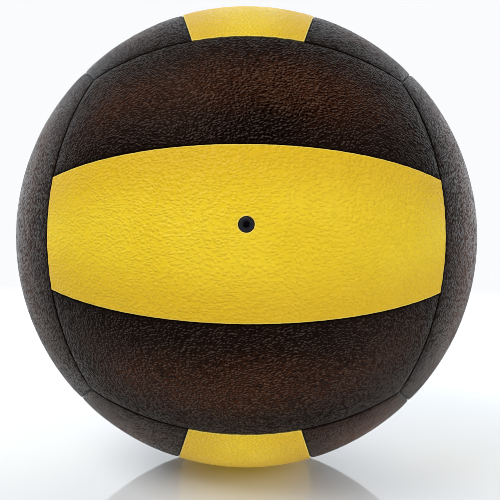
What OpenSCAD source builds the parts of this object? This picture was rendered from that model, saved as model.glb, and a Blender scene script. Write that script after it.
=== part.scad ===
// Leather medicine ball with a valve: eighteen sewn panels over a yarn winding,
// a moulded rubber ballast in two halves and an inflatable bladder.
// The origin is the centre of the ball, the valve faces -Y and +Z is up.

/* [Ball] */
// Outside diameter of the ball
ball_d = 240; // [200:5:300]
// Thickness of a cover panel, leather with its cloth backing
cover_t = 2.6; // [2.4:0.1:3.4]
// Thickness of the yarn winding under the cover
winding_t = 1; // [0.6:0.1:2]
// Thickness of the moulded rubber ballast
ballast_t = 12.6; // [8:0.1:16]
// Thickness of the bladder wall
bladder_t = 1.4; // [1:0.1:2.5]
// Clearance between one layer and the next
layer_gap = 0.05; // [0.02:0.01:0.1]

/* [Panels] */
// Half the angle that the middle strip of a face spans across
strip_angle = 16.7; // [14:0.1:19]
// Distance from the centre of the ball to the plane of a strip seam
strip_offset = 2.6; // [0:0.1:4]
// Width of the slit between two panels
seam_gap = 0.1; // [0.06:0.02:0.3]
// Width of the bevel along the outer edges of a panel
bevel_w = 0.4; // [0.2:0.1:0.8]
// Depth of the same bevel
bevel_depth = 0.8; // [0.4:0.1:1]

/* [Thread] */
// Diameter of the waxed sewing thread
thread_d = 0.9; // [0.6:0.1:1]
// Depth of the thread's centre below the outer surface
thread_depth = 1.6; // [1.5:0.1:1.7]
// Width of the channel that holds the thread
channel_w = 1; // [1:0.1:1.2]
// Depth of the channel in the side of each panel
channel_depth = 0.45; // [0.44:0.01:0.6]
// Length of each seam that the thread leaves free at a corner
thread_end = 1.6; // [1.4:0.1:4]

/* [Ballast joint] */
// Width of the cloth tape over the joint of the ballast halves
tape_w = 20; // [12:1:40]
// Thickness of that tape
tape_t = 0.4; // [0.3:0.1:0.8]
// Thickness of the tongue between the two ballast halves
tongue_t = 3; // [2:0.5:4]
// Height of the tongue
tongue_h = 3; // [2:0.5:6]

/* [Valve] */
// Height of the valve above the middle of the front face
valve_rise = 3.5; // [0:0.5:10]
// Diameter of the nose that shows in the cover
nose_d = 5.5; // [5.2:0.1:6]
// Radius of the nose's round lip
nose_lip = 0.3; // [0.1:0.05:0.4]
// Diameter of the hole in the cover around the nose
nose_hole_d = 6.3; // [6.2:0.1:8]
// Depth of the nose's end below the outer surface
nose_sink = 0.35; // [0.2:0.05:0.6]
// Diameter of the stem through the layers
stem_d = 11; // [9:0.5:14]
// Diameter of the flange inside the bladder
flange_d = 28; // [22:1:40]
// Thickness of that flange
flange_t = 1.6; // [1.2:0.1:2.5]
// Length of the stem inside the bladder, below the flange
boot_len = 4; // [3:0.5:8]
// Diameter of the rubber patch around the stem
patch_d = 36; // [30:1:60]
// Thickness of that patch
patch_t = 1; // [0.6:0.1:1.5]

/* [Valve insert] */
// Diameter of the push-in insert
insert_d = 4.2; // [3.8:0.1:4.4]
// Running clearance around the insert
insert_gap = 0.05; // [0.03:0.01:0.1]
// Depth of the insert's mouth below the end of the nose
insert_sink = 0.25; // [0.1:0.05:0.5]
// Bore for the inflating needle
needle_d = 2.1; // [1.9:0.1:2.4]
// Length of that bore
needle_bore_len = 6; // [4:1:10]
// Width of the funnel at the mouth
funnel_d = 3; // [2.6:0.1:3.4]
// Depth of the funnel
funnel_depth = 1.2; // [0.6:0.1:2]
// Length of the insert's head
head_len = 5; // [3:0.5:6]
// Length of its foot
foot_len = 4.5; // [3:0.5:6]
// Depth by which the waist between them is thinner
waist_cut = 0.25; // [0.1:0.05:0.4]
// Length of the taper at the foot's end
foot_taper = 1; // [0.4:0.1:1.6]
// Bevel around the mouth
mouth_edge = 0.15; // [0.1:0.05:0.2]
// Width of the closing slit under the needle bore
slit_w = 2.2; // [1.6:0.1:2.6]
// Opening of the slit at rest
slit_gap = 0.12; // [0.08:0.02:0.2]
// Diameter of the air passage at the inner end
air_d = 2.8; // [2:0.1:3.4]

/* [Hidden] */

// Fineness of every round shape
$fn = 128;

// Colours of the parts
yellow = "#e4c42e";
brown = "#2e1d17";
black = "#17171b";
thread_black = "#1d1512";
yarn_cream = "#d9d2c0";
rubber_grey = "#3b3a39";
tape_cream = "#c9bfa3";
bladder_brown = "#2a2422";

// Outer and inner radius of each layer
ball_r = ball_d / 2;
cover_in_r = ball_r - cover_t;
winding_out_r = cover_in_r - layer_gap;
winding_in_r = winding_out_r - winding_t;
ballast_out_r = winding_in_r - layer_gap;
ballast_in_r = ballast_out_r - ballast_t;
bladder_out_r = ballast_in_r - layer_gap;
bladder_in_r = bladder_out_r - bladder_t;
flange_out_r = bladder_in_r - layer_gap;
flange_in_r = flange_out_r - flange_t;
tape_in_r = ballast_out_r - tape_t;
patch_out_r = ballast_in_r + patch_t;
tongue_in_r = (ballast_in_r + ballast_out_r - tongue_t) / 2;

// Tilt of a strip seam's plane, so that the strip spans its angle in spite of the offset
seam_tilt = strip_angle + asin(strip_offset / ball_r);

// A length past the surface of the ball, for the cutting shapes
reach = 5;

// Heights along the valve's axis, from the XZ plane outwards
nose_end = sqrt(pow(ball_r, 2) - pow(valve_rise, 2)) - nose_sink;
stem_end = cover_in_r - layer_gap - pow(stem_d / 2 + valve_rise, 2) / ball_r / 2 - 0.1;
boot_end = flange_in_r - boot_len;
insert_seat = boot_end + 2;
insert_end = nose_end - insert_sink;
insert_foot = insert_seat + insert_gap;
needle_bore_end = insert_end - funnel_depth - needle_bore_len;

// Angles at which the two kinds of seam end, from their middles
strip_seam_r = seam_rim(strip_offset) - thread_depth;
strip_seam_angle = atan(cos(seam_tilt))
    + asin(strip_offset * sin(seam_tilt) / strip_seam_r / sqrt(1 + pow(cos(seam_tilt), 2)));
edge_seam_angle = atan(1 / sqrt(2));

// Radius of the circle in which a plane at that distance from the centre cuts the ball
function seam_rim(distance) = sqrt(pow(ball_r, 2) - pow(distance, 2));

// A spherical layer between two radii
module layer(outer_r, inner_r) {
    difference() {
        sphere(r = outer_r);
        sphere(r = inner_r);
    }
}

// Everything beyond a seam plane at that distance from the centre along +Z,
// with the bevel and the thread channel that a panel's sewn side has
module sewn_side(distance) {
    side = distance + seam_gap / 2;
    rim = seam_rim(distance);
    channel_in = rim - thread_depth - channel_w / 2;
    channel_out = channel_in + channel_w;
    rotate_extrude()
        polygon([
            [0, side],
            [channel_in, side],
            [channel_in, side + channel_depth],
            [channel_out, side + channel_depth],
            [channel_out, side],
            [rim - bevel_depth, side],
            [rim + reach, side + bevel_w * (1 + reach / bevel_depth)],
            [rim + reach, ball_r + reach],
            [0, ball_r + reach]
        ]);
}

// Everything between the left and right edges of the front face
module between_side_edges() {
    intersection() {
        rotate([0, 0, 45]) rotate([90, 0, 0]) sewn_side(0);
        rotate([0, 0, -45]) rotate([90, 0, 0]) sewn_side(0);
    }
}

// Middle strip of the front face, along X
module middle_strip() {
    intersection() {
        layer(ball_r, cover_in_r);
        intersection() {
            between_side_edges();
            rotate([180 - seam_tilt, 0, 0]) sewn_side(strip_offset);
            rotate([seam_tilt, 0, 0]) sewn_side(strip_offset);
        }
    }
}

// Strip between the middle strip and the upper edge of the front face
module upper_strip() {
    intersection() {
        layer(ball_r, cover_in_r);
        intersection() {
            between_side_edges();
            rotate([-seam_tilt, 0, 0]) sewn_side(-strip_offset);
            rotate([135, 0, 0]) sewn_side(0);
        }
    }
}

// Its mirror image under the middle strip
module lower_strip() {
    mirror([0, 0, 1]) upper_strip();
}

// Each of these turns something on the front face onto another face.
// What is up on the front face comes to the front of the side faces,
// to the left of the top face and to the right of the bottom face.
module on_back() rotate([0, 0, 180]) children();
module on_left() rotate([90, 0, 0]) rotate([0, 0, -90]) children();
module on_right() rotate([90, 0, 0]) rotate([0, 0, 90]) children();
module on_top() rotate([0, 0, 90]) rotate([-90, 0, 0]) children();
module on_bottom() rotate([0, 0, 90]) rotate([90, 0, 0]) children();

// Puts +Z along the valve's axis, outwards through the front face
module on_valve_axis() translate([0, 0, valve_rise]) rotate([90, 0, 0]) children();

// An arc of thread in the XY plane around -Y, ending short of the corners
module thread_arc(radius, half_angle) {
    half = half_angle - thread_end / radius * 180 / PI;
    rotate([0, 0, -90 - half])
        rotate_extrude(angle = 2 * half)
            translate([radius, 0]) circle(d = thread_d, $fn = 24);
}

// The two threads between the three strips of the front face
module strip_threads() {
    for (side = [0, 1])
        mirror([0, 0, side])
            rotate([-seam_tilt, 0, 0])
                translate([0, 0, -strip_offset])
                    thread_arc(strip_seam_r, strip_seam_angle);
}

// One thread along an edge between two faces, across the -Y end of the XY plane
module edge_thread() {
    thread_arc(ball_r - thread_depth, edge_seam_angle);
}

// The four threads around the front face
module face_edge_threads() {
    for (turn = [0, 90, 180, 270])
        rotate([0, turn, 0]) rotate([-45, 0, 0]) edge_thread();
}

// The round way for the valve's stem through the layers
module stem_hole() {
    on_valve_axis() cylinder(d = stem_d + 4 * layer_gap, h = ball_r + reach);
}

// A flat outline turned about the Y axis, with the outline's height along -Y
module turned_about_y() {
    rotate([90, 0, 0]) rotate_extrude() children();
}

// Outline of a layer between two radii, from the Y axis outwards
module layer_outline(outer_r, inner_r) {
    difference() {
        circle(r = outer_r);
        circle(r = inner_r);
    }
}

// Outline of a ballast half, with its bed for the joint tape
module ballast_outline() {
    intersection() {
        layer_outline(ballast_out_r, ballast_in_r);
        translate([0, layer_gap / 2]) square(ball_r);
        union() {
            circle(r = tape_in_r - layer_gap);
            translate([0, tape_w / 2 + layer_gap]) square(ball_r);
        }
    }
}

// Outline of the tongue between the halves, with a clearance around it
module tongue_outline(clearance) {
    translate([tongue_in_r - clearance, -tongue_h])
        square([tongue_t + 2 * clearance, 2 * tongue_h + clearance]);
}

// Cover panels

module panel_front_middle() {
    color(yellow)
        difference() {
            middle_strip();
            on_valve_axis() cylinder(d = nose_hole_d, h = ball_r + reach);
        }
}

module panel_front_upper() color(brown) upper_strip();
module panel_front_lower() color(brown) lower_strip();

module panel_back_middle() color(yellow) on_back() middle_strip();
module panel_back_upper() color(brown) on_back() upper_strip();
module panel_back_lower() color(brown) on_back() lower_strip();

module panel_left_middle() color(yellow) on_left() middle_strip();
module panel_left_front() color(brown) on_left() upper_strip();
module panel_left_rear() color(brown) on_left() lower_strip();

module panel_right_middle() color(yellow) on_right() middle_strip();
module panel_right_front() color(brown) on_right() upper_strip();
module panel_right_rear() color(brown) on_right() lower_strip();

module panel_top_middle() color(yellow) on_top() middle_strip();
module panel_top_left() color(brown) on_top() upper_strip();
module panel_top_right() color(brown) on_top() lower_strip();

module panel_bottom_middle() color(yellow) on_bottom() middle_strip();
module panel_bottom_left() color(brown) on_bottom() lower_strip();
module panel_bottom_right() color(brown) on_bottom() upper_strip();

// Sewing threads, each node a group of separate arcs

module thread_front_strips() color(thread_black) strip_threads();
module thread_back_strips() color(thread_black) on_back() strip_threads();
module thread_left_strips() color(thread_black) on_left() strip_threads();
module thread_right_strips() color(thread_black) on_right() strip_threads();
module thread_top_strips() color(thread_black) on_top() strip_threads();
module thread_bottom_strips() color(thread_black) on_bottom() strip_threads();

module thread_front_edges() color(thread_black) face_edge_threads();
module thread_back_edges() color(thread_black) on_back() face_edge_threads();

// The four edges that run from the front face to the back face
module thread_side_edges() {
    color(thread_black)
        for (turn = [45, 135, 225, 315])
            rotate([0, turn, 0]) rotate([0, 0, 90]) edge_thread();
}

// Layers under the cover

// Yarn wound over the ballast, open where the valve comes through
module yarn_winding() {
    color(yarn_cream)
        difference() {
            layer(winding_out_r, winding_in_r);
            stem_hole();
        }
}

// Moulded half shell with the valve's hole, the bed of its patch and the groove
module ballast_front() {
    color(rubber_grey)
        difference() {
            turned_about_y()
                difference() {
                    ballast_outline();
                    tongue_outline(layer_gap);
                }
            stem_hole();
            intersection() {
                on_valve_axis() cylinder(d = patch_d + 4 * layer_gap, h = ball_r);
                sphere(r = patch_out_r + layer_gap);
            }
        }
}

// Moulded half shell that carries the tongue
module ballast_back() {
    color(rubber_grey)
        mirror([0, 1, 0])
            turned_about_y() {
                ballast_outline();
                tongue_outline(0);
            }
}

// Cloth tape cemented over the joint of the two halves
module ballast_joint_tape() {
    color(tape_cream)
        turned_about_y()
            intersection() {
                layer_outline(ballast_out_r, tape_in_r);
                translate([0, -tape_w / 2]) square([ball_r, tape_w]);
            }
}

// Inflatable rubber bladder with a round hole for the valve's stem
module bladder() {
    color(bladder_brown)
        difference() {
            layer(bladder_out_r, bladder_in_r);
            stem_hole();
        }
}

// Rubber patch on the outside of the bladder, around the stem
module valve_patch() {
    color(bladder_brown)
        difference() {
            intersection() {
                layer(patch_out_r, ballast_in_r);
                on_valve_axis() cylinder(d = patch_d, h = ball_r);
            }
            stem_hole();
        }
}

// Valve

// Soft rubber housing: a flange inside the bladder, a stem through the layers
// and a nose that shows in the cover, with a stepped hole for the insert
module valve_housing() {
    color(black)
        difference() {
            union() {
                intersection() {
                    layer(flange_out_r, flange_in_r);
                    on_valve_axis() cylinder(d = flange_d, h = ball_r);
                }
                on_valve_axis() {
                    translate([0, 0, boot_end]) cylinder(d = stem_d, h = stem_end - boot_end);
                    rotate_extrude() nose_outline();
                }
            }
            on_valve_axis() {
                cylinder(d = air_d, h = ball_r);
                translate([0, 0, insert_seat])
                    cylinder(d = insert_d + 2 * insert_gap, h = ball_r - insert_seat);
            }
        }
}

// Outline of the nose from the valve's axis outwards, with a round lip
module nose_outline() {
    translate([0, boot_end]) square([nose_d / 2 - nose_lip, nose_end - boot_end]);
    translate([0, boot_end]) square([nose_d / 2, nose_end - nose_lip - boot_end]);
    translate([nose_d / 2 - nose_lip, nose_end - nose_lip]) circle(r = nose_lip);
}

// Push-in insert: a funnel and a bore that guide the inflating needle,
// and under them the slit that closes when the needle is out
module valve_insert() {
    color(black)
        on_valve_axis()
            difference() {
                rotate_extrude() insert_outline();
                translate([0, 0, insert_end - funnel_depth])
                    cylinder(d1 = needle_d, d2 = funnel_d, h = funnel_depth);
                translate([0, 0, needle_bore_end])
                    cylinder(d = needle_d, h = insert_end - needle_bore_end);
                translate([-slit_w / 2, -slit_gap / 2, insert_foot - reach])
                    cube([slit_w, slit_gap, needle_bore_end - insert_foot + reach + 1]);
            }
}

// Outline of the insert from its axis outwards: a tapered foot, a waist and a head
module insert_outline() {
    full = insert_d / 2;
    waist = full - waist_cut;
    head_foot = insert_end - head_len;
    polygon([
        [0, insert_foot],
        [full - foot_taper / 2, insert_foot],
        [full, insert_foot + foot_taper],
        [full, insert_foot + foot_len],
        [waist, insert_foot + foot_len + waist_cut],
        [waist, head_foot - waist_cut],
        [full, head_foot],
        [full, insert_end - mouth_edge],
        [full - mouth_edge, insert_end],
        [0, insert_end]
    ]);
}

panel_front_middle();
panel_front_upper();
panel_front_lower();
panel_back_middle();
panel_back_upper();
panel_back_lower();
panel_left_middle();
panel_left_front();
panel_left_rear();
panel_right_middle();
panel_right_front();
panel_right_rear();
panel_top_middle();
panel_top_left();
panel_top_right();
panel_bottom_middle();
panel_bottom_left();
panel_bottom_right();
thread_front_strips();
thread_back_strips();
thread_left_strips();
thread_right_strips();
thread_top_strips();
thread_bottom_strips();
thread_front_edges();
thread_side_edges();
thread_back_edges();
yarn_winding();
ballast_front();
ballast_back();
ballast_joint_tape();
bladder();
valve_patch();
valve_housing();
valve_insert();
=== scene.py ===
import math
from itertools import product

import bpy
import numpy as np
from mathutils import Matrix, Vector


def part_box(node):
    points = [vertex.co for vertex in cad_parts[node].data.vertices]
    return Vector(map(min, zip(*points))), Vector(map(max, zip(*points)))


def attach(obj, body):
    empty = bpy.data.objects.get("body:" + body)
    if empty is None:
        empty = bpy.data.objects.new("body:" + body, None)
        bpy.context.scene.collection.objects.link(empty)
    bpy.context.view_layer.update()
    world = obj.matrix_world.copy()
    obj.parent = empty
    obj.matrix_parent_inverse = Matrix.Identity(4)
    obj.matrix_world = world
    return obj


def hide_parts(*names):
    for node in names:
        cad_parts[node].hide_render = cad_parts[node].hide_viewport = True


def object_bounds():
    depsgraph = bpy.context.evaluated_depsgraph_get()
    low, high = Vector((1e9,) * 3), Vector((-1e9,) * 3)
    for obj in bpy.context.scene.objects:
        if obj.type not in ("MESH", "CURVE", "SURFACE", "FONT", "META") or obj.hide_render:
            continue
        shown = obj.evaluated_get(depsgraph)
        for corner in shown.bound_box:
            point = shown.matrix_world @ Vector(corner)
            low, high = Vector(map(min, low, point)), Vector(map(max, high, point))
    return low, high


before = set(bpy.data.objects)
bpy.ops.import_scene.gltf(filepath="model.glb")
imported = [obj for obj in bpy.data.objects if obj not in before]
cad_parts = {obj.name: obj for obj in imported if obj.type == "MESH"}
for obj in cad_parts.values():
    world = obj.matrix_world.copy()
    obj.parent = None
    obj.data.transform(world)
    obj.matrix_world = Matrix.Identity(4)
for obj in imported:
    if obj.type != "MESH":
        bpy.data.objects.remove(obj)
CAD_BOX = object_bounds()

MM = 0.001
BALL_R = (CAD_BOX[1].y - CAD_BOX[0].y) / 2

# The seams of a face, as in the CAD model: the tilt of a seam's plane about the strips' direction
# and its distance from the ball's centre
STRIP_OFFSET = 2.6 * MM
STRIP_TILT = math.radians(16.7) + math.asin(STRIP_OFFSET / BALL_R)
EDGE_TILT = math.radians(45)
LOWER_EDGE = (-EDGE_TILT, 0)
LOWER_SEAM = (-STRIP_TILT, STRIP_OFFSET)
UPPER_SEAM = (STRIP_TILT, -STRIP_OFFSET)
UPPER_EDGE = (EDGE_TILT, 0)
STRIPS = {
    "lower": (LOWER_EDGE, LOWER_SEAM),
    "middle": (LOWER_SEAM, UPPER_SEAM),
    "upper": (UPPER_SEAM, UPPER_EDGE),
}


def turn(axis, degrees):
    """A rotation about an axis, as an array."""
    return np.array(Matrix.Rotation(math.radians(degrees), 3, axis))


# How the front face turns onto each face, and what its upper, middle and lower strips are called there
FACES = {
    "front": (np.eye(3), ("upper", "middle", "lower")),
    "back": (turn("Z", 180), ("upper", "middle", "lower")),
    "left": (turn("X", 90) @ turn("Z", -90), ("front", "middle", "rear")),
    "right": (turn("X", 90) @ turn("Z", 90), ("front", "middle", "rear")),
    "top": (turn("Z", 90) @ turn("X", -90), ("left", "middle", "right")),
    "bottom": (turn("Z", 90) @ turn("X", 90), ("right", "middle", "left")),
}

# A panel's mesh: the size of a cell, the rows close to its seams, and how many cells of the outer
# face one cell of the inner face spans
CELL = 0.65 * MM
EDGE_STEPS = np.array([0, 0.05, 0.12, 0.22, 0.36, 0.55, 0.8, 1.15, 1.6, 2.2]) * MM
INNER_STRIDE = 10

# A panel's sewn side: how far each ring of it stands back from the seam's plane, and how deep it lies
SEAM_INSET = 0.09 * MM
CHANNEL_INSET = 0.52 * MM
SIDE_RINGS = (
    (SEAM_INSET, 1.15 * MM),
    (CHANNEL_INSET, 1.2 * MM),
    (CHANNEL_INSET, 2.1 * MM),
    (SEAM_INSET, 2.16 * MM),
    (SEAM_INSET, 2.5 * MM),
)
INNER_DEPTH = 2.56 * MM

# The rounding of a panel's edge, and the gentle fall of the leather towards a seam by its reach and
# its depth, for the firm yellow leather and for the softer brown one
ROUNDING = {"yellow": 0.4 * MM, "brown": 0.75 * MM}
FALL = {"yellow": (1.6 * MM, 0.15 * MM), "brown": (2.6 * MM, 0.35 * MM)}
FALL_POWER = 1.3

# The puckers that the stitches pull beside a seam
STITCH_PITCH, PUCKER_H, PUCKER_W = 6 * MM, 0.05 * MM, 2.5 * MM

# The relief of the leather itself, each by its width, its height and the seed of its noise. The fine
# relief of the yellow leather is drawn out along its strips and pushed about. A crease ends where its
# noise is CREASE_REACH away from zero.
SWELLS = ((26 * MM, 0.07 * MM, 1), (9 * MM, 0.035 * MM, 2))
BUMPS = {"yellow": (2 * MM, 0.035 * MM, 3), "brown": (2.2 * MM, 0.045 * MM, 3)}
CREASES = {"yellow": (3.2 * MM, 0.03 * MM, 4), "brown": (3 * MM, 0.03 * MM, 4)}
CREASE_REACH = 0.25
DRAWN_OUT = (0.45, 1, 1)
DRIFT = (6 * MM, 0.8 * MM, 5)

# The sewing thread in the seams: its size and place, its mesh, the length of one turn of its twist,
# and how many strands it has with how deep the grooves between them are, as a share of its radius
THREAD_R, THREAD_DEPTH, THREAD_END = 0.45 * MM, 1.6 * MM, 1.6 * MM
THREAD_SIDES, THREAD_STEP, THREAD_LAY = 12, 0.6 * MM, 4 * MM
THREAD_STRANDS, THREAD_GROOVE = 3, 0.16

# The valve's hole in the middle panel of the front face: its place and size, the square patch of the
# mesh around it with rings at these shares of the way in, and the depths of the rings of its wall
NOSE_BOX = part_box("valve_insert")
VALVE_Z = (NOSE_BOX[0].z + NOSE_BOX[1].z) / 2
HOLE_R = 3.15 * MM
HOLE_PATCH = 6 * MM
HOLE_STEPS = (0.3, 0.52, 0.68, 0.8, 0.88, 0.94, 0.98, 1)
HOLE_WALL = (0.7 * MM, 1.2 * MM, 1.8 * MM, 2.3 * MM, INNER_DEPTH)

# How deep the hole's edge is rounded, how the leather falls towards it by its reach and its depth,
# and how far from a seam the material takes the hole's edge to be
HOLE_ROUNDING = 0.3 * MM
HOLE_FALL = (1.5 * MM, 0.12 * MM)
HOLE_SEAM = 0.1 * MM

# Large odd numbers that scatter the bits of a whole-number point and a seed, and bit shifts between
HASH_AXES = (73856093, 19349663, 83492791)
HASH_SEED = 2654435761
HASH_ROUNDS = ((13, 1274126177), (15, 695872825))
HASH_LAST_SHIFT = 16
BITS_32, BITS_16 = 0xFFFFFFFF, 0xFFFF


# Noise

def scatter(cell, seed):
    """A repeatable random number from 0 to 1 for each whole-number point."""
    bits = np.bitwise_xor.reduce(cell * np.array(HASH_AXES), axis=-1) ^ (seed * HASH_SEED)
    bits = bits & BITS_32
    for shift, factor in HASH_ROUNDS:
        bits = (bits ^ (bits >> shift)) * factor & BITS_32
    return ((bits ^ (bits >> HASH_LAST_SHIFT)) & BITS_16) / BITS_16


def noise(points, size, seed):
    """Smooth noise from -1 to 1 whose bumps are about size across."""
    place = points / size
    cell = np.floor(place).astype(np.int64)
    part = place - cell
    ease = part ** 3 * (part * (part * 6 - 15) + 10)
    total = np.zeros(len(points))
    for corner in product((0, 1), repeat=3):
        weight = np.prod(np.where(corner, ease, 1 - ease), axis=-1)
        total += weight * scatter(cell + np.array(corner), seed)
    return 2 * total - 1


def waves(points, width, height, seed):
    """Smooth rises and dips of that width, up to height above and below 0."""
    return height * noise(points, width, seed)


def creases(points, width, height, seed):
    """Thin winding lines where smooth noise goes through zero, height on a line and 0 away from it."""
    away = np.abs(noise(points, width, seed)) / CREASE_REACH
    return height * np.clip(1 - away, 0, 1) ** 2


# Meshes

def make_object(name, points, faces, body, slot, *nodes):
    """A smooth mesh object that rides on a body and stands for CAD nodes. Its slot is not used."""
    mesh = bpy.data.meshes.new(name)
    sizes = np.array([len(f) for f in faces])
    starts = np.concatenate([[0], np.cumsum(sizes)[:-1]])
    mesh.vertices.add(len(points))
    mesh.vertices.foreach_set("co", np.asarray(points, np.float32).ravel())
    mesh.loops.add(int(sizes.sum()))
    mesh.loops.foreach_set("vertex_index", np.concatenate(faces).astype(np.int32))
    mesh.polygons.add(len(faces))
    mesh.polygons.foreach_set("loop_start", starts.astype(np.int32))
    mesh.update(calc_edges=True)
    mesh.validate()
    mesh.shade_smooth()
    piece = bpy.data.objects.new(name, mesh)
    bpy.context.scene.collection.objects.link(piece)
    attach(piece, body)
    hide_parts(*nodes)
    return piece


def set_attribute(piece, name, kind, values):
    """Keeps a value per vertex for the materials to read."""
    layer = piece.data.attributes.new(name, kind, "POINT")
    field = "vector" if kind == "FLOAT_VECTOR" else "value"
    layer.data.foreach_set(field, np.asarray(values, np.float32).ravel())


# Panels

def on_strip(strip, inset, along, across):
    """Points of the ball's surface in a strip of the front face, drawn in by inset from its four seams.

    along runs from -1 at its left end to 1 at its right, and across from 0 at its lower seam to 1 at
    its upper one."""
    (low_tilt, low_offset), (high_tilt, high_offset) = STRIPS[strip]
    tilt = low_tilt + (high_tilt - low_tilt) * across
    offset = low_offset + inset + (high_offset - low_offset - 2 * inset) * across
    rim = np.sqrt(BALL_R ** 2 - offset ** 2)
    reach = (-offset * np.sin(tilt) - math.sqrt(2) * inset) / (rim * np.sqrt(1 + np.cos(tilt) ** 2))
    angle = along * (np.arctan(np.cos(tilt)) + np.arcsin(reach))
    return np.stack([
        rim * np.sin(angle),
        offset * np.sin(tilt) - rim * np.cos(angle) * np.cos(tilt),
        offset * np.cos(tilt) + rim * np.cos(angle) * np.sin(tilt),
    ], -1)


def seam_distances(strip, points):
    """How far points lie from the nearer end seam of the strip, and from its nearer side seam."""
    (low_tilt, low_offset), (high_tilt, high_offset) = STRIPS[strip]
    x, y, z = points.T
    ends = (-y - np.abs(x)) / math.sqrt(2) - SEAM_INSET
    low = y * math.sin(low_tilt) + z * math.cos(low_tilt) - low_offset - SEAM_INSET
    high = high_offset - y * math.sin(high_tilt) - z * math.cos(high_tilt) - SEAM_INSET
    return np.maximum(ends, 0), np.maximum(np.minimum(low, high), 0)


def blend_distances(first, second):
    """The smaller of two distances, rounded where they are about the same."""
    tiny = 0.001 * MM
    return ((first + tiny) ** -3 + (second + tiny) ** -3) ** (-1 / 3)


def steps(length):
    """Shares of a length from 0 to 1, close together at both ends."""
    last = EDGE_STEPS[-1]
    cells = 2 * round((length - 2 * last) / CELL / 2)
    middle = np.linspace(last, length - last, cells + 1)[1:-1]
    return np.concatenate([EDGE_STEPS, middle, length - EDGE_STEPS[::-1]]) / length


def rounded(distance, radius):
    """How deep a rounded edge lies at a distance from it, as a share of its depth."""
    in_round = np.clip(1 - distance / radius, 0, 1)
    return 1 - np.sqrt(1 - in_round ** 2)


def edge_drop(distance, leather):
    """How far the leather lies below the ball's surface at a distance from a seam."""
    radius = ROUNDING[leather]
    width, height = FALL[leather]
    fall = np.exp(-((distance / width) ** FALL_POWER))
    return radius * rounded(distance, radius) + height * fall


def puckers(along, distance):
    """Height of the puckers at a place along a seam and a distance from it."""
    return PUCKER_H * np.cos(along / STITCH_PITCH * 2 * math.pi) * np.exp(-distance / PUCKER_W)


def relief(strip, points, grain, leather):
    """Height of the leather over the ball's surface at points of a strip, with their distances from
    the nearest seam and from the nearest side seam."""
    ends, sides = seam_distances(strip, points)
    seam = blend_distances(ends, sides)
    height = -edge_drop(seam, leather)
    height += puckers(points[:, 0], sides)
    height += puckers(points[:, 2], ends)
    height += waves(grain, *SWELLS[0]) + waves(grain, *SWELLS[1])
    if leather == "yellow":
        grain = grain * DRAWN_OUT + waves(grain, *DRIFT)[:, None]
    height += waves(grain, *BUMPS[leather]) - creases(grain, *CREASES[leather])
    return height, seam, sides


def hole_relief(points):
    """How far the leather lies lower near the valve's hole, with the distances from the hole's edge."""
    flat = points[:, ::2] - (0, VALVE_Z)
    distance = np.maximum(np.linalg.norm(flat, axis=1) - HOLE_R, 0)
    width, height = HOLE_FALL
    rounding = HOLE_ROUNDING * rounded(distance, ROUNDING["yellow"])
    return rounding + height * np.exp(-distance / width), distance


def around_cells(columns, rows):
    """Grid places around a block of cells, from its lower left corner to the right."""
    (left, right), (low, high) = columns, rows
    places = [(i, low) for i in range(left, right)]
    places += [(right, j) for j in range(low, high)]
    places += [(i, high) for i in range(right, left, -1)]
    places += [(left, j) for j in range(high, low, -1)]
    return places


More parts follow.
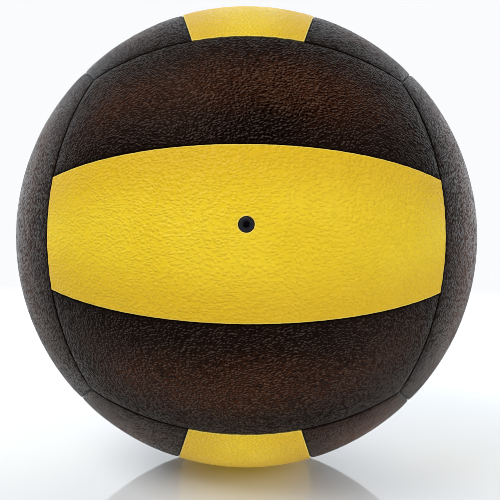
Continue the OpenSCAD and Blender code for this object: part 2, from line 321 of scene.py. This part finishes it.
class PanelMesh:
    """A closed mesh of one panel, built on the front face: a fine outer grid, the sewn sides,
    and a coarse inner grid, with a round hole where the panel has the valve."""

    def __init__(self, strip, has_hole):
        self.strip = strip
        self.has_hole = has_hole
        self.points = []
        self.faces = []
        self.count = 0
        length = 2 * np.arctan(np.cos(STRIP_TILT)) * BALL_R
        ends = STRIPS[strip]
        self.along = 2 * steps(length) - 1
        self.across = steps((ends[1][0] - ends[0][0]) * BALL_R)
        self.columns = len(self.along) - 1
        self.rows = len(self.across) - 1
        self.build()

    def add(self, points):
        """Adds points and gives their numbers."""
        points = np.asarray(points).reshape(-1, 3)
        self.points.append(points)
        first = self.count
        self.count += len(points)
        return np.arange(first, self.count)

    def add_quads(self, a, b, c, d):
        """Adds one face for each place in four arrays of point numbers."""
        self.faces.extend(np.stack([a, b, c, d], -1).reshape(-1, 4))

    def build(self):
        """Outer grid, hole, sides and inner grid."""
        across, along = np.meshgrid(self.across, self.along)
        outer = on_strip(self.strip, SEAM_INSET, along, across)
        if self.has_hole:
            self.find_hole(outer)
        ids = self.add_outer_grid(outer)
        if self.has_hole:
            self.rim = self.add_hole_patch(ids, outer)
        self.outer_count = self.count
        border = np.array(around_cells((0, self.columns), (0, self.rows)))
        ring = ids[border[:, 0], border[:, 1]]
        for inset, depth in SIDE_RINGS:
            lower = self.add(self.at_depth(border, inset, depth))
            self.add_quads(ring, lower, np.roll(lower, -1), np.roll(ring, -1))
            ring = lower
        self.add_inner_grid(border, ring)

    def add_outer_grid(self, outer):
        """The outer face without the cells of the hole's square. Gives the points' numbers."""
        shown = np.ones(outer.shape[:2], bool)
        if self.has_hole:
            (i0, i1), (j0, j1) = self.hole_columns, self.hole_rows
            shown[i0 + 1:i1, j0 + 1:j1] = False
        ids = np.full(shown.shape, -1)
        ids[shown] = self.add(outer[shown])
        cells = ids[:-1, :-1], ids[1:, :-1], ids[1:, 1:], ids[:-1, 1:]
        whole = np.min(cells, axis=0) >= 0
        if self.has_hole:
            whole[i0:i1, j0:j1] = False
        self.add_quads(*[c[whole] for c in cells])
        return ids

    def at_depth(self, places, inset, depth):
        """Points of the panel at grid places, drawn in from the seams and below the surface."""
        surface = on_strip(self.strip, inset, self.along[places[:, 0]], self.across[places[:, 1]])
        return surface * (1 - depth / BALL_R)

    def find_hole(self, outer):
        """The square of grid lines around the valve's hole."""
        centre = self.columns // 2
        near_x = np.abs(np.abs(outer[:, self.rows // 2, 0]) - HOLE_PATCH)
        half = centre - int(np.argmin(near_x[:centre]))
        rise = int(np.argmin(np.abs(outer[centre, :, 2] - VALVE_Z)))
        self.hole_columns = (centre - half, centre + half)
        self.hole_rows = (rise - half, rise + half)

    def add_hole_patch(self, ids, outer):
        """Rings from the square to the hole's round rim. Gives the rim's point numbers."""
        places = np.array(around_cells(self.hole_columns, self.hole_rows))
        ring = ids[places[:, 0], places[:, 1]]
        flat = outer[places[:, 0], places[:, 1]][:, ::2] - (0, VALVE_Z)
        circle = HOLE_R * flat / np.linalg.norm(flat, axis=1, keepdims=True)
        for share in HOLE_STEPS:
            x, z = (flat + (circle - flat) * share).T
            z = z + VALVE_Z
            lower = self.add(np.stack([x, -np.sqrt(BALL_R ** 2 - x ** 2 - z ** 2), z], -1))
            self.add_quads(ring, np.roll(ring, -1), np.roll(lower, -1), lower)
            ring = lower
        return ring

    def add_hole_wall(self):
        """The wall of the hole, from its rim to the inner face. Gives its lowest ring."""
        rim_points = np.concatenate(self.points)[self.rim]
        ring = self.rim
        for depth in HOLE_WALL:
            lower = self.add(rim_points + (0, depth, 0))
            self.add_quads(ring, np.roll(ring, -1), np.roll(lower, -1), lower)
            ring = lower
        return ring

    def inner_lines(self):
        """The grid's columns and rows that the inner face keeps: every few, and those of the hole."""
        columns = set(range(0, self.columns, INNER_STRIDE)) | {self.columns}
        rows = set(range(0, self.rows, INNER_STRIDE)) | {self.rows}
        if self.has_hole:
            columns = {i for i in columns if not self.hole_columns[0] < i < self.hole_columns[1]}
            rows = {j for j in rows if not self.hole_rows[0] < j < self.hole_rows[1]}
            columns |= set(self.hole_columns)
            rows |= set(self.hole_rows)
        return sorted(columns), sorted(rows)

    def add_inner_grid(self, border, ring):
        """The inner face, with few cells away from its border."""
        number = {tuple(place): ring[k] for k, place in enumerate(border)}
        columns, rows = self.inner_lines()
        inside = [(i, j) for i in columns[1:-1] for j in rows[1:-1]]
        added = self.add(self.at_depth(np.array(inside), SEAM_INSET, INNER_DEPTH))
        number.update(zip(inside, added))
        for i0, i1 in zip(columns, columns[1:]):
            for j0, j1 in zip(rows, rows[1:]):
                if self.has_hole and (i0, i1) == self.hole_columns and (j0, j1) == self.hole_rows:
                    self.close_hole([number[p] for p in ((i0, j0), (i1, j0), (i1, j1), (i0, j1))])
                    continue
                around = around_cells((i0, i1), (j0, j1))
                self.faces.append(np.array([number[p] for p in around if p in number][::-1]))

    def close_hole(self, corners):
        """Joins the inner face's square to the lowest ring of the hole's wall."""
        ring = self.add_hole_wall()
        quarter = len(ring) // 4
        for side in range(4):
            arc = [ring[k % len(ring)] for k in range(side * quarter, (side + 1) * quarter + 1)]
            around = [corners[side], corners[(side + 1) % 4]] + arc[::-1]
            self.faces.append(np.array(around[::-1]))


def on_outer(is_outer, values):
    """Values of the outer face's points, with 0 for the other points."""
    every = np.zeros(len(is_outer))
    every[is_outer] = values
    return every


def make_panel(face, strip, name, leather, number):
    """One panel of leather, closed all round, which keeps what its material reads: its grain's place,
    its distances from the seams, which points aren't on the outer face, and a shade of its own."""
    panel = PanelMesh(strip, name == "panel_front_middle")
    points = np.concatenate(panel.points)
    random = np.random.default_rng(number)
    grain = points + random.uniform(-0.5, 0.5, 3)
    is_outer = np.arange(len(points)) < panel.outer_count
    height, seam, sides = relief(strip, points[is_outer], grain[is_outer], leather)
    if panel.has_hole:
        lower, from_hole = hole_relief(points[is_outer])
        height -= lower
        seam = np.minimum(seam, from_hole + HOLE_SEAM)
    points[is_outer] *= 1 + (height / BALL_R)[:, None]
    points = points @ FACES[face][0].T
    piece = make_object(name + "_leather", points, panel.faces, "ball", "leather_" + leather, name)
    set_attribute(piece, "grain", "FLOAT_VECTOR", grain)
    set_attribute(piece, "rim", "FLOAT", on_outer(is_outer, seam))
    set_attribute(piece, "side", "FLOAT", on_outer(is_outer, sides))
    set_attribute(piece, "backing", "FLOAT", ~is_outer)
    set_attribute(piece, "hide", "FLOAT", np.full(len(points), random.random()))
    piece.data.materials.append(LEATHERS[leather])


# Thread

def thread_arc(rotation, offset, radius, half_angle):
    """Points and faces of a twisted thread along an arc around -Y of the rotated XY plane."""
    half = half_angle - THREAD_END / radius
    count = round(2 * half * radius / THREAD_STEP)
    angle = np.linspace(-half, half, count + 1)[:, None]
    around = np.linspace(0, 2 * math.pi, THREAD_SIDES, endpoint=False)[None, :]
    twist = around - angle * radius / THREAD_LAY * 2 * math.pi
    strands = np.abs(np.cos(THREAD_STRANDS / 2 * twist))
    size = THREAD_R * (1 - THREAD_GROOVE + THREAD_GROOVE * strands)
    out = radius + size * np.cos(around)
    points = np.stack([
        out * np.sin(angle),
        -out * np.cos(angle),
        offset + size * np.sin(around),
    ], -1).reshape(-1, 3) @ rotation.T
    ids = np.arange((count + 1) * THREAD_SIDES).reshape(count + 1, THREAD_SIDES)
    turned = np.roll(ids, -1, axis=1)
    faces = list(np.stack([ids[:-1], ids[1:], turned[1:], turned[:-1]], -1).reshape(-1, 4))
    faces += [ids[0], ids[-1][::-1]]
    return points, faces


def make_thread(name, arcs):
    """All the runs of thread of one CAD node as one piece."""
    points, faces, first = [], [], 0
    for arc in arcs:
        arc_points, arc_faces = thread_arc(*arc)
        points.append(arc_points)
        faces += [f + first for f in arc_faces]
        first += len(arc_points)
    piece = make_object(name + "_twisted", np.concatenate(points), faces, "ball", "sewing_thread", name)
    piece.data.materials.append(THREAD)


def make_threads():
    """The threads of the strip seams of every face, and of the edges between the faces."""
    rim = math.sqrt(BALL_R ** 2 - STRIP_OFFSET ** 2) - THREAD_DEPTH
    corner = STRIP_OFFSET * math.sin(STRIP_TILT) / rim / math.hypot(1, math.cos(STRIP_TILT))
    strip_half = math.atan(math.cos(STRIP_TILT)) + math.asin(corner)
    tilt = math.degrees(STRIP_TILT)
    for face, (rotation, _) in FACES.items():
        arcs = [
            (rotation @ turn("X", -side * tilt), -side * STRIP_OFFSET, rim, strip_half)
            for side in (1, -1)
        ]
        make_thread(f"thread_{face}_strips", arcs)
    edge = (0, BALL_R - THREAD_DEPTH, math.atan(math.sqrt(0.5)))
    for face in ("front", "back"):
        around = [FACES[face][0] @ turn("Y", 90 * k) @ turn("X", -45) for k in range(4)]
        make_thread(f"thread_{face}_edges", [(rotation, *edge) for rotation in around])
    along = [turn("Y", 45 + 90 * k) @ turn("Z", 90) for k in range(4)]
    make_thread("thread_side_edges", [(rotation, *edge) for rotation in along])


# Materials

def srgb(red, green, blue):
    """A colour given in 0 to 255 steps of sRGB, as linear values."""
    def linear(value):
        share = value / 255
        return share / 12.92 if share <= 0.04045 else ((share + 0.055) / 1.055) ** 2.4
    return (linear(red), linear(green), linear(blue), 1)


class Nodes:
    """The nodes of a material or of the world, written as one call for each."""

    def __init__(self, tree):
        self.tree = tree

    def fill(self, node, inputs):
        """Sets or links a node's inputs, named or numbered."""
        for key, value in inputs.items():
            if isinstance(value, bpy.types.NodeSocket):
                self.tree.links.new(value, node.inputs[key])
            else:
                node.inputs[key].default_value = value

    def node(self, kind, inputs, **settings):
        """Adds a node with its settings and inputs."""
        node = self.tree.nodes.new(kind)
        for key, value in settings.items():
            setattr(node, key, value)
        self.fill(node, inputs)
        return node

    def coordinate(self, name):
        """A texture coordinate."""
        return self.node("ShaderNodeTexCoord", {}).outputs[name]

    def camera_ray(self):
        """1 for what the camera sees itself, and 0 for reflections and light."""
        return self.node("ShaderNodeLightPath", {}).outputs["Is Camera Ray"]

    def vector(self, operation, first, second):
        """Arithmetic of two vectors."""
        return self.node("ShaderNodeVectorMath", {0: first, 1: second}, operation=operation).outputs[0]

    def math(self, operation, first, second):
        """Arithmetic of two values."""
        return self.node("ShaderNodeMath", {0: first, 1: second}, operation=operation).outputs[0]

    def total(self, *terms):
        """The sum of values, each times its share."""
        value, share = terms[0]
        result = self.math("MULTIPLY", value, share)
        for value, share in terms[1:]:
            result = self.math("ADD", result, self.math("MULTIPLY", value, share))
        return result

    def ramp(self, value, low, high, start=0, end=1):
        """Goes smoothly from start to end while value goes from low to high."""
        inputs = {"Value": value, "From Min": low, "From Max": high, "To Min": start, "To Max": end}
        return self.node("ShaderNodeMapRange", inputs, interpolation_type="SMOOTHSTEP").outputs[0]

    def mix(self, share, first, second):
        """Mixes two colours."""
        node = self.node("ShaderNodeMix", {}, data_type="RGBA")
        places = {socket.identifier: k for k, socket in enumerate(node.inputs)}
        values = {"Factor_Float": share, "A_Color": first, "B_Color": second}
        self.fill(node, {places[identifier]: value for identifier, value in values.items()})
        return next(socket for socket in node.outputs if socket.identifier == "Result_Color")

    def blend(self, share, first, second):
        """Mixes two shaders."""
        return self.node("ShaderNodeMixShader", {0: share, 1: first, 2: second}).outputs[0]

    def noise(self, vector, scale, detail=2, rough=0.5):
        """Noise from 0 to 1, with scale as its number of bumps in a metre."""
        inputs = {"Vector": vector, "Scale": scale, "Detail": detail, "Roughness": rough}
        return self.node("ShaderNodeTexNoise", inputs).outputs["Fac"]

    def warped(self, vector, scale, reach):
        """A vector pushed about by smooth noise, by up to about reach."""
        push = self.node("ShaderNodeTexNoise", {"Vector": vector, "Scale": scale, "Detail": 1})
        centred = self.vector("SUBTRACT", push.outputs["Color"], (0.5, 0.5, 0.5))
        moved = self.vector("MULTIPLY", centred, (2 * reach,) * 3)
        return self.vector("ADD", vector, moved)

    def domes(self, vector, scale):
        """Random round pebbles, 1 on their tops and 0 between them, with scale as their number in
        a metre."""
        inputs = {"Vector": vector, "Scale": scale, "Smoothness": 0.15}
        centre = self.node("ShaderNodeTexVoronoi", inputs, feature="SMOOTH_F1")
        return self.ramp(centre.outputs["Distance"], 0.1, 0.75, 1, 0)

    def bump(self, height, distance):
        """A bump of that height in metres where height is 1."""
        return self.node("ShaderNodeBump", {"Height": height, "Distance": distance}).outputs[0]


class Material(Nodes):
    """A procedural material around a Principled shader."""

    def __init__(self, name):
        self.material = bpy.data.materials.new(name)
        self.material.use_nodes = True
        super().__init__(self.material.node_tree)
        self.shader = self.tree.nodes["Principled BSDF"]

    def finish(self, **inputs):
        """Fills the shader's inputs, with _ for a space in a name."""
        self.fill(self.shader, {key.replace("_", " "): value for key, value in inputs.items()})
        return self.material


# The grain of both leathers: the step from a pebble's top towards the side that is given painted shade (the
# other side is given a painted highlight), the scale and the reach of the slow noise that sways its rows,
# and the share of the pores in its height
PAINTED_SHADE_STEP = (0.12 * MM, 0, -0.3 * MM)
GRAIN_SWAY = (60, 3 * MM)
PORE_SHARE = 0.3


class Leather(Material):
    """Leather with a pebbled grain, which reads what each panel keeps for it.

    stretch makes the pebbles longer along the strip where it is under 1, jitter is the scale and
    the reach of the noise that makes them uneven, the two scales are their number and the number of
    pores in a metre, and pebble_share is their share in the grain's height."""

    def __init__(self, name, stretch, jitter, pebble_scale, pore_scale, pebble_share):
        super().__init__(name)
        self.place = self.node("ShaderNodeAttribute", {}, attribute_name="grain").outputs["Vector"]
        self.rim = self.kept("rim")
        swayed = self.warped(self.place, *GRAIN_SWAY)
        stretched = self.vector("MULTIPLY", swayed, (stretch, 1, 1))
        uneven = self.warped(stretched, *jitter)
        pebbles = self.domes(uneven, pebble_scale)
        # The slope of the painted light: above 0 on the side of each pebble that gets a painted highlight,
        # below 0 on the side that gets painted shade
        pebbles_toward_shade = self.domes(self.vector("ADD", uneven, PAINTED_SHADE_STEP), pebble_scale)
        self.slope = self.math("SUBTRACT", pebbles_toward_shade, pebbles)
        pores = self.noise(self.place, pore_scale, 1)
        self.height = self.total((pebbles, pebble_share), (pores, PORE_SHARE))

    def kept(self, name):
        """A value that the panels keep for each point."""
        return self.node("ShaderNodeAttribute", {}, attribute_name=name).outputs["Fac"]

    def patches(self, low, high):
        """Broad patches of roughness, from low to high."""
        return self.ramp(self.noise(self.place, 60, 3), 0.3, 0.7, low, high)


def brown_leather():
    """Dark brown leather with a fine pebbled grain, redder and blacker in patches."""
    m = Leather("brown_leather", stretch=0.75, jitter=(900, 0.3 * MM), pebble_scale=1000,
                pore_scale=2600, pebble_share=0.85)
    # The share of the rubbed brown in the black: more in worn patches and by a panel's own tone, and more
    # away from the seams, as painted shade that deepens towards them
    worn = m.ramp(m.noise(m.place, 20, 3, 0.55), 0.38, 0.62)
    seam_shade_falloff = m.ramp(m.rim, 3 * MM, 26 * MM)
    wear_and_painted_shade = m.math("POWER", m.total((worn, 0.16), (seam_shade_falloff, 0.38), (m.kept("hide"), 0.46)), 1.8)
    colour = m.mix(wear_and_painted_shade, srgb(6, 4, 3), srgb(92, 51, 30))
    # Painted shade on one side of each pebble and a painted highlight on the other
    colour = m.mix(m.ramp(m.slope, -0.3, 0.05, 0.9, 0), colour, srgb(4, 0, 0))
    painted_highlight = m.mix(wear_and_painted_shade, srgb(64, 56, 52), srgb(116, 83, 61))
    colour = m.mix(m.ramp(m.slope, 0.09, 0.5, 0, 0.88), colour, painted_highlight)
    # Painted shade, darker within 3 mm of the seams, and black in them and on the backing
    colour = m.mix(m.ramp(m.rim, 0.5 * MM, 3 * MM, 0.7, 0), colour, srgb(8, 5, 4))
    colour = m.mix(m.ramp(m.rim, 0.2 * MM, 0.7 * MM, 1, 0), colour, srgb(4, 3, 3))
    colour = m.mix(m.kept("backing"), colour, srgb(5, 4, 4))
    rough = m.total((m.patches(0.3, 0.38), 1), (m.ramp(m.height, 0.2, 0.5, 0.3, 0), 1))
    return m.finish(Base_Color=colour, Roughness=rough, Specular_IOR_Level=0.09,
                    Specular_Tint=(0.6, 0.3, 0.17, 1), Normal=m.bump(m.height, 0.16 * MM))


def yellow_leather():
    """Yellow leather with a soft pebbled grain, with painted shade deepening its colour towards its side
    seams.
    """
    m = Leather("yellow_leather", stretch=0.62, jitter=(700, 0.4 * MM), pebble_scale=860,
                pore_scale=2200, pebble_share=0.8)
    patches = m.ramp(m.noise(m.place, 26, 3, 0.5), 0.35, 0.65)
    colour = m.mix(patches, srgb(236, 199, 28), srgb(240, 205, 38))
    # Painted shade: darker and deeper in colour towards the side seams
    colour = m.mix(m.ramp(m.kept("side"), 3 * MM, 26 * MM, 0.75, 0), colour, srgb(220, 176, 24))
    # Painted shade on one side of each pebble and a painted highlight on the other
    colour = m.mix(m.ramp(m.slope, -0.5, 0, 0.17, 0), colour, srgb(206, 160, 10))
    colour = m.mix(m.ramp(m.slope, 0, 0.5, 0, 0.17), colour, srgb(250, 224, 84))
    # A painted highlight along the edge, black in the seams and on the backing
    colour = m.mix(m.ramp(m.rim, 0.3 * MM, 0.7 * MM, 0.6, 0), colour, srgb(252, 230, 120))
    colour = m.mix(m.ramp(m.rim, 0.02 * MM, 0.1 * MM, 0.8, 0), colour, srgb(60, 42, 12))
    colour = m.mix(m.kept("backing"), colour, srgb(8, 6, 5))
    return m.finish(Base_Color=colour, Roughness=m.patches(0.38, 0.48), Specular_IOR_Level=0.15,
                    Normal=m.bump(m.height, 0.36 * MM))


def mottle(m, place, light, dark, scale, roughness):
    """A colour mottled from light to dark, and a roughness that follows it."""
    cloud = m.noise(place, scale, 4, 0.6)
    colour = m.mix(m.ramp(cloud, 0.35, 0.65), light, dark)
    return colour, m.ramp(cloud, 0.3, 0.7, roughness - 0.06, roughness + 0.06)


def waxed_thread():
    """Dark waxed thread."""
    m = Material("waxed_thread")
    colour, _ = mottle(m, m.coordinate("Object"), srgb(34, 27, 24), srgb(16, 12, 11), 900, 0.5)
    return m.finish(Base_Color=colour, Roughness=0.5)


def rubber(name, light, dark, scale, roughness, grain=0):
    """Moulded rubber, dusty in patches, with a fine grain of that height where it has one."""
    m = Material(name)
    place = m.coordinate("Object")
    colour, rough = mottle(m, place, light, dark, scale, roughness)
    if grain:
        m.finish(Normal=m.bump(m.noise(place, 2600, 2), grain))
    return m.finish(Base_Color=colour, Roughness=rough)


def woven(name, light, dark, threads):
    """Cloth or yarn with threads that cross, as its colour shows, and that number of them in a metre."""
    m = Material(name)
    place = m.coordinate("Object")
    inputs = {"Vector": place, "Scale": threads, "Distortion": 1.5, "Detail": 1}
    x, y, z = [
        m.node("ShaderNodeTexWave", inputs, bands_direction=direction).outputs["Fac"]
        for direction in ("X", "Y", "Z")
    ]
    crossed = m.math("MAXIMUM", m.math("MAXIMUM", x, y), z)
    colour = m.mix(crossed, dark, light)
    colour = m.mix(m.ramp(m.noise(place, 35, 3), 0.4, 0.7, 0, 0.4), colour, dark)
    return m.finish(Base_Color=colour, Roughness=m.ramp(crossed, 0, 1, 0.95, 0.8))


def give_material(node, material):
    """Puts a material on every slot of a CAD node."""
    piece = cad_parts[node]
    if not piece.material_slots:
        piece.data.materials.append(material)
    for place in piece.material_slots:
        place.material = material


# Stage

BACKDROP = srgb(250, 251, 253)

# The studio's light: from behind the ball, from before it, and the share of it that is left at the top
WORLD_COLOUR = (0.94, 0.99, 1.04, 1)
WORLD_BACK, WORLD_FRONT, WORLD_TOP = 2.3, 0, 0.45

# The floor's size, its colour, how much of it the camera sees around the ball, and its glow there
FLOOR_R, FLOOR_SIDES = 2.4, 96
FLOOR_COLOUR = (0.7, 0.715, 0.73, 1)
FLOOR_SHARE, FLOOR_GLOW = 0.7, 0.4

# The soft lights: place, size and power
LIGHTS = {
    "key": ((-0.7, -0.85, 1.2), 0.8, 19.5),
    "fill": ((1.25, -1.05, 0.2), 1.4, 16.5),
}

# The camera: its distance in radii of the ball, its turns in degrees about Z, Y and X, its lens in
# millimetres for a sensor of that width, and its shift
CAMERA_DISTANCE = 3.098
CAMERA_TURNS = (-0.06, 0.47, -0.54)
CAMERA_LENS, CAMERA_SENSOR = 48.69, 36
CAMERA_SHIFT = (0.0068, -0.0265)
CAMERA_NEAR = 0.01


def floor_material():
    """A glossy white that fades into the backdrop far from the ball where the camera sees it. It
    glows a little for reflections and light, most near the ball but not right under it."""
    m = Material("floor")
    flat = m.vector("MULTIPLY", m.coordinate("Object"), (1, 1, 0))
    away = m.node("ShaderNodeVectorMath", {0: flat}, operation="LENGTH").outputs["Value"]
    m.finish(Base_Color=FLOOR_COLOUR, Roughness=0.05, IOR=1.5)
    glossy = m.shader.outputs[0]
    clear = m.node("ShaderNodeBsdfTransparent", {}).outputs[0]
    share = m.math("MULTIPLY", m.ramp(away, 0.02, 0.09, 1, FLOOR_SHARE), m.ramp(away, 0.3, 1.6, 1, 0))
    seen = m.blend(share, clear, glossy)
    near = m.math("MULTIPLY", m.ramp(away, 0.03, 0.1, 0.2, FLOOR_GLOW), m.ramp(away, 0.15, 0.5, 1, 0.3))
    glow = m.node("ShaderNodeEmission", {"Strength": near}).outputs[0]
    glowing = m.node("ShaderNodeAddShader", {0: glow, 1: glossy}).outputs[0]
    surface = m.blend(m.camera_ray(), glowing, seen)
    m.fill(m.tree.nodes["Material Output"], {"Surface": surface})
    return m.material


def make_floor():
    """A round floor under the ball."""
    turns = np.linspace(0, 2 * math.pi, FLOOR_SIDES, endpoint=False)
    down = np.full(FLOOR_SIDES, -BALL_R)
    points = np.stack([FLOOR_R * np.cos(turns), FLOOR_R * np.sin(turns), down], -1)
    mesh = bpy.data.meshes.new("floor")
    mesh.from_pydata([tuple(p) for p in points], [], [tuple(range(FLOOR_SIDES))])
    mesh.materials.append(floor_material())
    floor = bpy.data.objects.new("floor", mesh)
    bpy.context.scene.collection.objects.link(floor)


def make_world():
    """A white studio whose camera sees an even backdrop. Its light comes from behind and from the sides."""
    world = bpy.data.worlds.new("studio")
    world.use_nodes = True
    bpy.context.scene.world = world
    w = Nodes(world.node_tree)
    split = w.node("ShaderNodeSeparateXYZ", {0: w.coordinate("Generated")}).outputs
    behind = w.ramp(split["Y"], 0, 0.75, WORLD_FRONT, WORLD_BACK)
    above = w.ramp(split["Z"], 0.1, 0.9, 1, WORLD_TOP)
    lit = {"Color": WORLD_COLOUR, "Strength": w.math("MULTIPLY", behind, above)}
    light = w.node("ShaderNodeBackground", lit).outputs[0]
    backdrop = w.node("ShaderNodeBackground", {"Color": BACKDROP}).outputs[0]
    w.fill(w.tree.nodes["World Output"], {0: w.blend(w.camera_ray(), light, backdrop)})


def make_light(name, place, size, power):
    """A square soft light that looks at the ball."""
    data = bpy.data.lights.new(name, "AREA")
    data.shape = "SQUARE"
    data.size = size
    data.energy = power
    light = bpy.data.objects.new(name, data)
    light.location = place
    light.rotation_euler = (-Vector(place)).to_track_quat("-Z", "Y").to_euler()
    bpy.context.scene.collection.objects.link(light)


def make_camera():
    """The photograph's view: level with the ball and straight at its front, turned by under a degree."""
    data = bpy.data.cameras.new("camera")
    data.sensor_width = CAMERA_SENSOR
    data.lens = CAMERA_LENS
    data.shift_x, data.shift_y = CAMERA_SHIFT
    data.clip_start = CAMERA_NEAR
    camera = bpy.data.objects.new("camera", data)
    turn_z, turn_y, turn_x = CAMERA_TURNS
    tilt = turn("Z", turn_z) @ turn("Y", turn_y) @ turn("X", turn_x)
    view = Matrix((tilt.T @ turn("X", 90)).tolist()).to_4x4()
    place = tilt.T @ np.array([0, -CAMERA_DISTANCE * BALL_R, 0])
    camera.matrix_world = Matrix.Translation(place) @ view
    bpy.context.scene.collection.objects.link(camera)
    bpy.context.scene.camera = camera


make_camera()
make_world()
for light_name, light_settings in LIGHTS.items():
    make_light(light_name, *light_settings)
make_floor()

LEATHERS = {"brown": brown_leather(), "yellow": yellow_leather()}
THREAD = waxed_thread()

for face, (_, names) in FACES.items():
    for strip, place in zip(("upper", "middle", "lower"), names):
        node = f"panel_{face}_{place}"
        leather = "yellow" if place == "middle" else "brown"
        make_panel(face, strip, node, leather, list(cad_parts).index(node))
make_threads()

give_material("yarn_winding", woven("winding_yarn", srgb(222, 214, 194), srgb(168, 156, 128), 420))
give_material("ballast_joint_tape", woven("joint_tape", srgb(206, 196, 166), srgb(150, 138, 104), 700))
BALLAST = rubber("ballast_rubber", srgb(66, 64, 62), srgb(48, 46, 45), 60, 0.75)
give_material("ballast_front", BALLAST)
give_material("ballast_back", BALLAST)
BLADDER = rubber("bladder_rubber", srgb(48, 40, 36), srgb(32, 26, 24), 70, 0.6)
give_material("bladder", BLADDER)
give_material("valve_patch", BLADDER)
HOUSING = rubber("valve_rubber", srgb(24, 21, 36), srgb(12, 10, 20), 900, 0.5, 0.04 * MM)
give_material("valve_housing", HOUSING)
INSERT = rubber("insert_rubber", srgb(20, 18, 32), srgb(9, 8, 16), 900, 0.45, 0.03 * MM)
give_material("valve_insert", INSERT)

bpy.context.scene.view_settings.view_transform = "Standard"
bpy.context.scene.cycles.filter_width = 0.8
